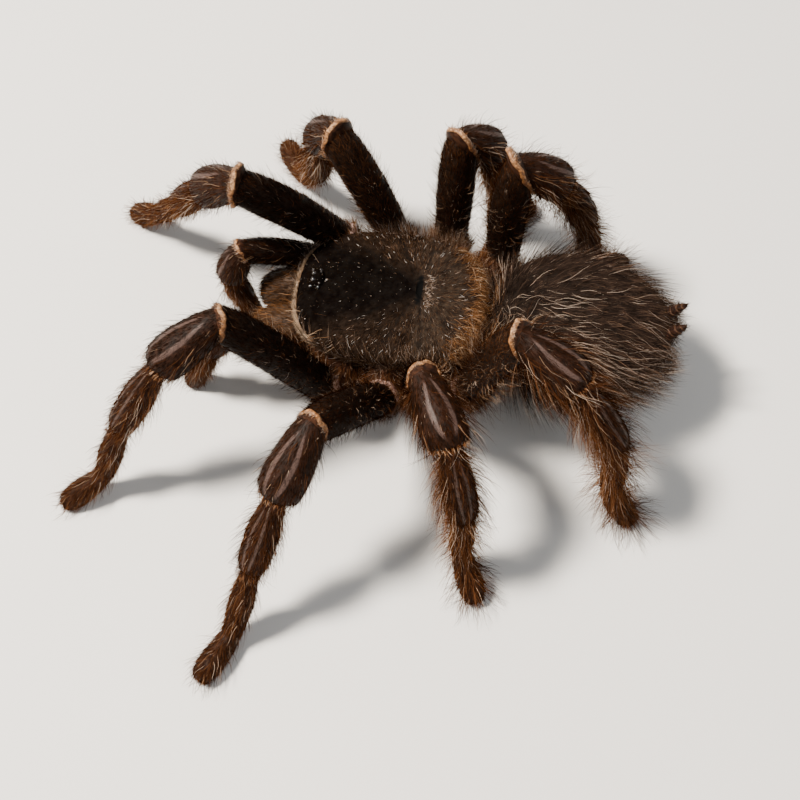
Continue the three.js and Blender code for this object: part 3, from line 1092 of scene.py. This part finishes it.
# %% The coat of the legs
def off_stripes(points, marks):
    """Where short hairs grow on a knee or shin: everywhere except on its bald stripes."""
    return np.where(np.abs(marks["lane"] - 1) < 0.85 * LANE_REACH, 0.06, 1.0)


def off_back(points, marks):
    """Where the long hairs of a knee or shin grow: mostly on its sides, clear of the stripes."""
    return 0.08 + smooth_share(np.abs(marks["around"]), 0.75, 1.15)


def short_of_knee(points, marks):
    """Where the long hairs of a thigh grow: few near its knee, or they would hide its ring."""
    return 1 - 0.8 * smooth_share(marks["along"], 0.6, 0.8)


def at_knee(points, marks):
    """The last of a thigh, where its hairs overhang the ring of its knee."""
    return marks["along"] > 0.94


LONG_GROWS = {"femur": short_of_knee, "patella": off_back, "tibia": off_back}


def grow_segment(coat, limb, node, scale):
    """The short, the long and the bristly hairs of one segment."""
    part = node.split("_")[0]
    skin, out = skins[node], directions(spans[node])[0]

    def warmed(roots, low, high, pale):
        underside = smooth_share(np.abs(roots["around"]), 1.1, 2.2)
        return coat.shades(roots, low, high, pale) + WARM_SIDES.get(part, 0) * underside

    count, length, lift, *colours = SHORT[part]
    roots = coat.roots(skin, int(count * scale), off_stripes if part in LANES else None)
    shift = LOCK_SHADE.get(part, 0) * locks(roots["around"] * 8, roots["along"] * 11)
    tone = warmed(roots, *colours) + (PALER.get(node, 0) + shift)
    coat.grow(roots, out, length, fine(tone), (lift, lift), tone, steps=1)
    count, length, lift, *colours = LONG[part]
    shag = 1 if part == "femur" and limb[1] != "4" else SHAGGY.get(limb, 1)
    roots = coat.roots(skin, int(count * scale * shag), LONG_GROWS.get(part))
    tone = warmed(roots, *colours)
    lift = np.array(lift) + (BUSHY.get(limb, 0) if part == "foot" else 0)
    coat.grow(roots, out, length * shag, fine(tone), lift, tone, steps=4, wave=0.25)
    if part in BRISTLES:
        roots = coat.roots(skin, int(BRISTLES[part] * scale))
        coat.grow(roots, out, 2.7, 0.085, (52, 38), (0, 0.25))


for limb, chain in chains.items():
    coat = Coat(sum(map(ord, limb)))
    scale = 1.0 if limb in LEGS else PALP_SHARE
    outs = [directions(spans[node])[0] for node in chain]
    for node in chain:
        grow_segment(coat, limb, node, scale)
    # Painted glints on each knee: a few tiny pale hairs for the shine of its black hair.
    roots = coat.roots(skins[chain[2]], KNEE_GLINT_HAIRS, off_back)
    coat.grow(roots, outs[2], 0.45, 0.1, (12, 12), 1.0, steps=1)
    roots = coat.roots(skins[chain[1]], int(KNEE_OVERHANG * scale), at_knee)
    coat.grow(roots, outs[1], 1.4, 0.11, (14, 10), (0, 0.62))
    for node, out in zip(chain[:-1], outs):
        count, length, lift, colours = FRINGES[node.split("_")[0]]
        roots = coat.rim(joints[node][0], int(count * scale))
        coat.grow(roots, out, length, 0.11, lift, colours)
    coat.join(f"coat_{limb}", leg_hair)

# %% [markdown]
# ## The coat of the back plate
#
# The plate wears a felt of short hairs that spread out from the groove. They are black towards
# the head, with a few silver specks, and grey gold behind. The specks are pale hairs: partly real
# grey hairs and partly painted glints, which stand in for the shine of the black felt. A mesh of
# single triangles is coarse for a felt, but at this size only its grain shows. Long hairs hang
# over the rim like a skirt.


# %% The coat of the back plate
FELT_HAIRS, PIT_HAIRS, SKIRT_HAIRS = 30000, 110, 4200
RIM_HEIGHT = 23.8  # millimetres
PLATE_HAIR = [
    (0.0, (0.003, 0.002, 0.0012)),
    (0.3, (0.014, 0.0065, 0.003)),
    (0.6, (0.082, 0.043, 0.023)),
    (0.8, (0.25, 0.185, 0.145)),
    (1.0, (0.60, 0.57, 0.55)),
]
plate_hair = hair_finish("plate_hair", PLATE_HAIR)


def above_rim(points):
    """How far points lie above the rim of the plate, in millimetres."""
    return points[:, 2] / MM - RIM_HEIGHT


def on_top_of_plate(points, marks):
    """The upper face of the plate, with few hairs in the pit and along the furrows."""
    across, ahead = np.abs(off_middle(points)), ahead_of_groove(points)
    in_pit = (across < 3.2) & (np.abs(ahead) < 0.5)
    bearing = np.arctan2(across, ahead)
    off_furrows = np.min([np.abs(bearing - furrow) for furrow in FURROWS], axis=0) > 0.05
    return (above_rim(points) > -0.4) * np.where(in_pit, 0.02, 0.4 + 0.6 * off_furrows)


def behind_pit(points, marks):
    near = (np.abs(ahead_of_groove(points) + 1.7) < 0.6) & (np.abs(off_middle(points)) < 3.8)
    return near * on_top_of_plate(points, marks)


def on_rim(points, marks):
    return (np.abs(above_rim(points)) < 1.1) * (ahead_of_groove(points) > -8)


def from_groove(roots):
    """The direction away from the groove, for each root."""
    return unit((roots["place"] - np.array(groove)) * (1, 1, 0))


coat = Coat(11)
roots = coat.roots(plate, FELT_HAIRS, on_top_of_plate)
left, ahead = off_middle(roots["place"]), ahead_of_groove(roots["place"])
headward = head_share(roots["place"])
tone = coat.random.uniform(0.08, 0.52, FELT_HAIRS) + 0.36 * locks(left / 0.4, ahead / 0.4)
tone -= 0.13 * smooth_share(ahead, 0, 8)
tone = tone * (1 - headward) + coat.random.uniform(0, 0.06, FELT_HAIRS) * headward
# Pale specks of hair, short and wide on the head: partly real grey hairs, partly painted glints of
# the black felt.
middle_row = np.abs(left + 1) < 3.5
grey_hairs_and_glints = coat.random.random(FELT_HAIRS) < 0.04 + 0.02 * middle_row * headward
tone[grey_hairs_and_glints] = coat.random.uniform(0.58, 1.0, grey_hairs_and_glints.sum())
length = np.where(grey_hairs_and_glints & (headward > 0.5), 0.55, 1.4 - 0.4 * headward)
width = 0.1 + 0.12 * grey_hairs_and_glints * headward
coat.grow(roots, from_groove(roots), length, width, (9, 9), tone, steps=1, stray=0.35)
roots = coat.roots(plate, PIT_HAIRS, behind_pit)
coat.grow(roots, (0, 1, 0), 1.2, 0.075, (34, 0), (0.62, 0.86), stray=0.6)
roots = coat.roots(plate, SKIRT_HAIRS, on_rim)
length = 3.8 + 2.4 * smooth_share(np.abs(off_middle(roots["place"])), 9, 13)
tone = coat.shades(roots, 0.3, 0.72, 0.03)
coat.grow(roots, from_groove(roots), length, 0.09, (-16, -54), tone, steps=3, wave=0.2)
coat.join("coat_plate", plate_hair)

# %% [markdown]
# ## Fringes of the back plate
#
# Three fringes stand on the edge of the plate: rust red hairs at the back, which hide the waist,
# a close cream row along the brow, and a few stiff bristles on the shoulder above the left palp.
# They are a coat of their own because they take their colours from another ramp.


# %% Fringes of the back plate
BACK_HAIRS, BROW_HAIRS, SHOULDER_BRISTLES = 3800, 2300, 22


def edgeward(points):
    """0 in the middle of the plate and 1 all along its edge."""
    return np.hypot(off_middle(points) / 15.8, (ahead_of_groove(points) - 5.9) / 19.5)


def back_edge(points, marks):
    """The rear third of the plate, more towards its edge."""
    behind = smooth_share(-ahead_of_groove(points), 5, 11)
    return behind * (above_rim(points) > -1.5) * smooth_share(edgeward(points), 0.75, 0.95)


def brow(points, marks):
    """The front edge of the plate, as far back as its shoulders."""
    front = smooth_share(ahead_of_groove(points), 19, 22)
    return front * (np.abs(above_rim(points) - 0.5) < 0.9)


def shoulder(points, marks):
    """The shoulder of the plate above the left palp, and a little of the brow."""
    place = (edgeward(points) > 0.72) * (ahead_of_groove(points) > 12) * (above_rim(points) > 0)
    return place * (0.15 + (off_middle(points) > 6))


coat = Coat(12)
roots = coat.roots(plate, BACK_HAIRS, back_edge)
comb = unit(from_groove(roots) + np.array([0, 0.9, 0]))
tone = coat.shades(roots, 0.3, 0.8, 0.07, 0.95)
coat.grow(roots, comb, 2.8, fine(tone), (30, -4), tone, steps=3, wave=0.3, stray=0.4)
roots = coat.roots(plate, BROW_HAIRS, brow)
comb = unit(from_groove(roots) + np.array([0, -1.5, 0.6]))
coat.grow(roots, comb, 1.35, 0.1, (38, 20), (0.84, 1.0))
roots = coat.roots(plate, SHOULDER_BRISTLES, shoulder)
coat.grow(roots, from_groove(roots), 3.8, 0.06, (66, 44), (0.55, 1.0), steps=4, wave=0.1)
coat.join("coat_plate_edge", body_hair)

# %% [markdown]
# ## The coat of the rear body
#
# The rear body is the woolliest part. A short dark pile lies back along it like velvet, and
# reddish hairs stand round the waist. Where each hair grows and how pale it is depends on its
# place in the box of the rear body, from -1 to 1 on each axis, so the coat fits any size of it.


# %% The coat of the rear body
PILE_HAIRS, WAIST_HAIRS = 42000, 1600
SACK_HAIR = [
    (0.0, (0.006, 0.004, 0.003)),
    (0.3, (0.021, 0.0135, 0.010)),
    (0.55, (0.072, 0.044, 0.030)),
    (0.75, (0.21, 0.115, 0.065)),
    (1.0, (0.60, 0.48, 0.39)),
]
sack_hair = hair_finish("sack_hair", SACK_HAIR)
sack = skins["abdomen"]
sack_low, sack_high = [np.array(corner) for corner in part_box("abdomen")]


def in_sack(points):
    """Points as shares of the rear body's half size: side, back and up, one row each."""
    return ((points - (sack_low + sack_high) / 2) / ((sack_high - sack_low) / 2)).T


def off_belly(points, marks):
    return 0.35 + smooth_share(in_sack(points)[2], -0.6, 0.2)


def at_waist(points, marks):
    return smooth_share(-in_sack(points)[1], 0.72, 0.95)


coat = Coat(21)
roots = coat.roots(sack, PILE_HAIRS, off_belly)
_, back, up = in_sack(roots["place"])
tone = coat.shades(roots, 0.0, 0.38, 0.012)
tone += 0.1 * smooth_share(back, -0.2, 0.9) + 0.08 * smooth_share(-up, 0, 0.8)
tone += 0.4 * locks(roots["place"][:, 0] / (0.4 * MM), roots["place"][:, 1] / (1.6 * MM))
coat.grow(roots, (0, 1, -0.15), 1.9, fine(tone), (14, 14), tone, steps=1, stray=0.3)
coat.join("coat_sack", sack_hair)

coat = Coat(22)
roots = coat.roots(sack, WAIST_HAIRS, at_waist)
comb = unit(in_sack(roots["place"]).T * (0.9, 0, 0.9) + np.array([0, 0.6, 0]))
tone = coat.shades(roots, 0.35, 0.78, 0.06, 0.95)
coat.grow(roots, comb, 3.0, fine(tone), (34, 18), tone, steps=4, wave=0.25, stray=0.3)
coat.join("coat_waist", body_hair)

# %% [markdown]
# ## Long hairs of the rear body
#
# Long wavy hairs stand out of the pile, few on top and many down the sides, where they hang over
# the edge. Most are dark and some are pale, more of them on the flanks. The longest are single
# pale strands, which lie back over the upper left. They are real hairs, but that they lie mostly
# on that side, where they catch the light, is painted light.


# %% Long hairs of the rear body
STRANDS, LONG_HAIRS = 200, 9600


def lit_upper_left(points, marks):
    """The upper left of the rear body, where the pale strands catch the light, and a little of the
    right.
    """
    side, _, up = in_sack(points)
    return smooth_share(up, -0.3, 0.2) * (0.12 + smooth_share(side, -0.2, 0.15))


def down_sides(points, marks):
    return 0.3 + 1.7 * smooth_share(-in_sack(points)[2], -0.8, 0.1)


coat = Coat(23)
# Pale strands, kept mostly to the upper left where they catch the light: real hairs, placed as
# painted light.
roots = coat.roots(sack, STRANDS, lit_upper_left)
outward = np.sign(in_sack(roots["place"])[0])
comb = np.stack([0.25 * outward, np.ones(STRANDS), np.zeros(STRANDS)], axis=1)
coat.grow(roots, comb, 7.0, 0.05, (18, 4), (0.8, 1), steps=5, wave=0.3, stray=0.1)
roots = coat.roots(sack, LONG_HAIRS, down_sides)
side, back, up = in_sack(roots["place"])
flank = smooth_share(-up, -0.75, 0.0)
spread = 0.25 * smooth_share(back, -0.4, 0.8)
tone = coat.random.uniform(0.05, 0.45, LONG_HAIRS) + spread * coat.random.random(LONG_HAIRS)
pale = coat.random.random(LONG_HAIRS) < 0.02 + 0.17 * flank
tone[pale] = coat.random.uniform(0.72, 1, pale.sum())
comb = np.stack([0.5 * np.sign(side) * flank, np.ones(LONG_HAIRS), -0.1 - 0.1 * flank], axis=1)
length = (4 + 7.5 * flank) * (1 - 0.45 * smooth_share(back, 0.45, 0.95))
coat.grow(roots, comb, length, fine(tone), (30, 26), tone, steps=5, wave=0.24, sag=0.04, stray=0.12)
coat.join("coat_sack_long", sack_hair)

# %% [markdown]
# ## Coats of the jaws, the chest and the spinnerets
#
# The jaws wear a brush of stiff hairs that points ahead and down, and the right one is darker.
# The chest and the spinnerets have short hairs. One mesh holds all of these small coats.

# %% Coats of the jaws, the chest and the spinnerets
JAW_SHORT, JAW_LONG, CHEST_HAIRS, FINGER_HAIRS = 2600, 260, 1200, 260
JAW_COMB = (0, -1, -0.3)

coat = Coat(31)
for hand, colours in (("L", (0.25, 0.6)), ("R", (0.15, 0.5))):
    jaw = skins[f"chelicera_{hand}"]
    roots = coat.roots(jaw, JAW_SHORT)
    coat.grow(roots, JAW_COMB, 1.7, 0.12, (26, 6), colours, stray=0.25)
    roots = coat.roots(jaw, JAW_LONG)
    coat.grow(roots, JAW_COMB, 3.2, 0.1, (40, 16), (0.35, 0.8), steps=4, wave=0.25)
roots = coat.roots(skins["sternum"], CHEST_HAIRS)
coat.grow(roots, (0, 1, 0), 1.6, 0.13, (30, 10), (0.1, 0.5))
for finger in ("spinneret_L", "spinneret_R"):
    roots = coat.roots(skins[finger], FINGER_HAIRS)
    coat.grow(roots, directions(spans[finger])[0], 1.2, 0.11, (34, 14), (0.1, 0.45))
coat.join("coat_jaws_and_chest", body_hair)
